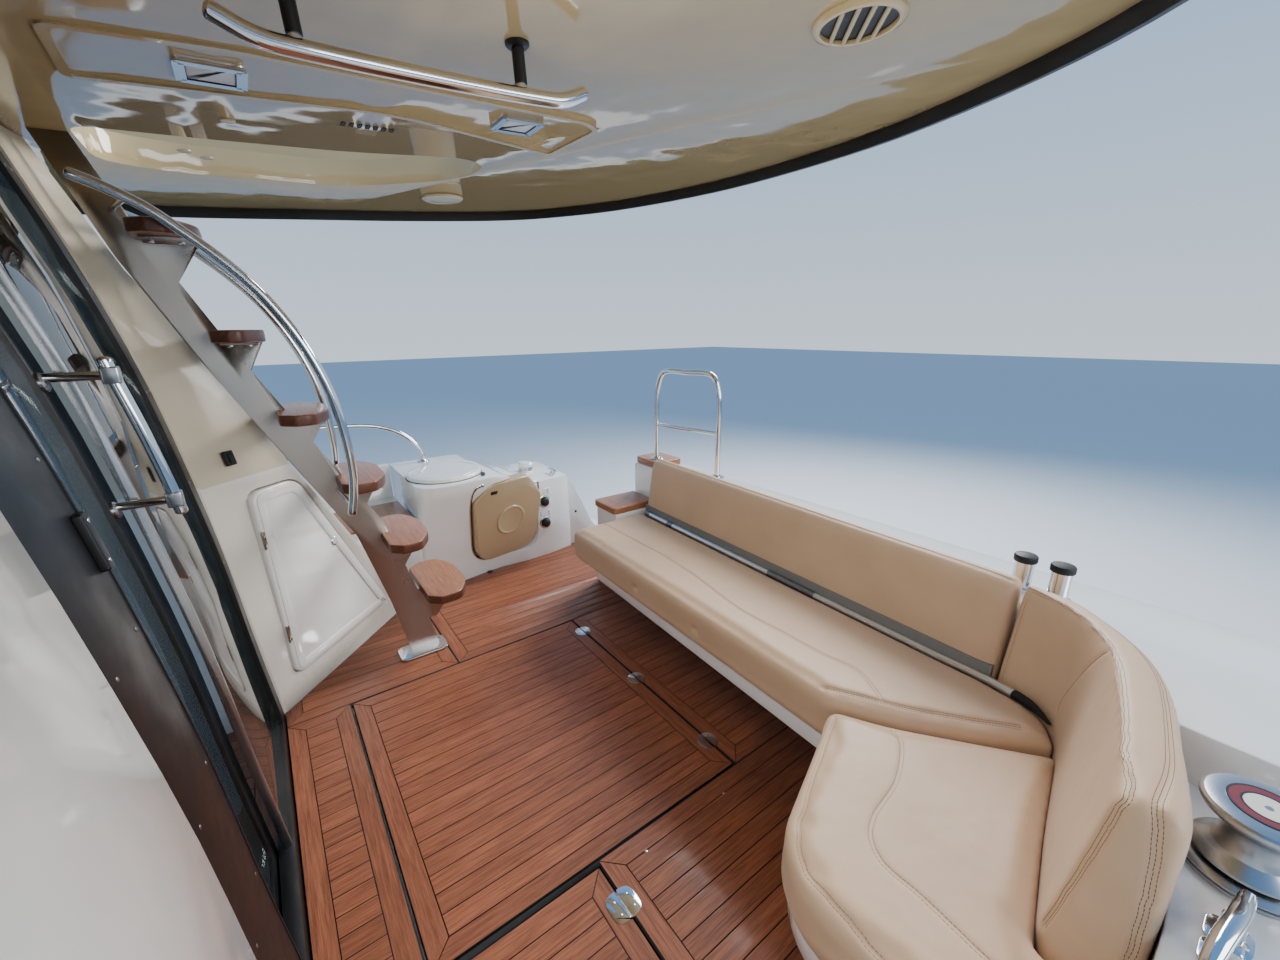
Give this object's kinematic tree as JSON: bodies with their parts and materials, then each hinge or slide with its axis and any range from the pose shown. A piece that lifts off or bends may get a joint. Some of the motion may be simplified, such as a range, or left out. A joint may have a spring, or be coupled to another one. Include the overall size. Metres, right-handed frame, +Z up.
{
  "type": "aft cockpit section of a motor yacht",
  "caption": "Aft cockpit section of a flybridge motor yacht: teak sole with opening hatches, L-shaped sofa, stair, raked sliding glass door, lockers, rails and overhang.",
  "frame": {"origin": "centre of the section's flat underside, on the surface it stands on", "axes": "+X to starboard, +Y forward, +Z up"},
  "size_m": [3.8, 2.5, 2.9912],
  "materials": {
    "gelcoat": "glossy off-white gelcoat",
    "cream_gelcoat": "very glossy cream gelcoat",
    "deck_teak": "oiled teak planks with black seams",
    "varnished_teak": "varnished teak",
    "upholstery": "grained marine leatherette with double stitching",
    "polished_steel": "polished stainless steel",
    "satin_steel": "brushed stainless steel",
    "black_frame": "black powder coat",
    "black_plastic": "black plastic and rubber",
    "beige_gelcoat": "glossy beige",
    "tinted_glass": "tinted, mirror-like glass"
  },
  "bodies": {
    "cockpit": {"backrest_corner": "upholstery", "backrest_long": "upholstery", "bulkhead_frame": "black_frame", "bulkhead_port": "gelcoat", "cabinet_starboard": "gelcoat", "capstan_base": "polished_steel", "ceiling_grab_rail": "polished_steel", "ceiling_light_aft": "satin_steel", "ceiling_light_fore": "satin_steel", "coaming_transom": "gelcoat", "end_box": "gelcoat", "end_step_lower": "varnished_teak", "end_step_upper": "varnished_teak", "flybridge_overhang": "cream_gelcoat", "glass_edge": "satin_steel", "glass_fixed": "tinted_glass", "handrail_inboard": "polished_steel", "handrail_outboard": "polished_steel", "hoop_rail": "polished_steel", "hull_and_sole": "gelcoat", "mooring_cleat": "polished_steel", "overhang_rim": "black_plastic", "quarter_starboard": "gelcoat", "rod_holder_inboard": "polished_steel", "rod_holder_outboard": "polished_steel", "saloon_floor": "deck_teak", "saloon_side_port": "gelcoat", "seat_chaise": "upholstery", "seat_long": "upholstery", "seat_rail": "polished_steel", "side_deck_port": "gelcoat", "side_deck_starboard": "gelcoat", "side_rail_port": "polished_steel", "side_rail_starboard": "polished_steel", "socket_lower": "black_plastic", "socket_upper": "black_plastic", "sofa_base": "gelcoat", "sole_teak": "deck_teak", "speaker_port": "black_plastic", "speaker_starboard": "beige_gelcoat", "stair_stringer": "satin_steel", "teak_pad_port": "varnished_teak", "teak_pad_starboard": "varnished_teak", "tread_1": "varnished_teak", "tread_2": "varnished_teak", "tread_3": "varnished_teak", "tread_4": "varnished_teak", "tread_5": "varnished_teak", "tread_6": "varnished_teak", "wing_wall": "cream_gelcoat"},
    "hatch_centre_lid": {"hatch_centre": "deck_teak"},
    "hatch_port_lid": {"hatch_port": "deck_teak"},
    "round_lid": {"cabinet_lid": "gelcoat"},
    "service_door": {"service_hatch": "beige_gelcoat"},
    "locker_leaf": {"locker_door": "gelcoat"},
    "door_leaf": {"door_leaf_frame": "black_frame", "door_leaf_glass": "tinted_glass", "door_handle": "polished_steel"},
    "capstan_head": {"capstan_drum": "polished_steel"}
  },
  "joints": [
    {"name": "hatch_centre_hinge", "type": "hinge", "parent": "cockpit", "child": "hatch_centre_lid", "pos_m": [0, -0.384, 0.6], "axis": [1, 0, 0], "range_deg": [0, 80]},
    {"name": "hatch_port_hinge", "type": "hinge", "parent": "cockpit", "child": "hatch_port_lid", "pos_m": [-0.935, 0.178, 0.6], "axis": [1, 0, 0], "range_deg": [0, 80]},
    {"name": "round_lid_hinge", "type": "hinge", "parent": "cockpit", "child": "round_lid", "pos_m": [1.645, -0.075, 1.2823], "axis": [0, 1, 0], "range_deg": [0, 80]},
    {"name": "service_door_hinge", "type": "hinge", "parent": "cockpit", "child": "service_door", "pos_m": [1.36269, -0.39043, 0.68292], "axis": [0.2, -0.9798, 0], "range_deg": [0, 75]},
    {"name": "locker_door_hinge", "type": "hinge", "parent": "cockpit", "child": "locker_leaf", "pos_m": [0.7287, 0.78529, 1.08029], "axis": [-0.0199, -0.0201, -0.9996], "range_deg": [0, 27]},
    {"name": "door_slide", "type": "slide", "parent": "cockpit", "child": "door_leaf", "axis": [-1, 0, 0], "range_m": [0, 0.35]},
    {"name": "capstan_spin", "type": "hinge", "parent": "cockpit", "child": "capstan_head", "pos_m": [-1.615, -0.47, 1.24], "axis": [0, 0, 1], "continuous": true}
  ]
}
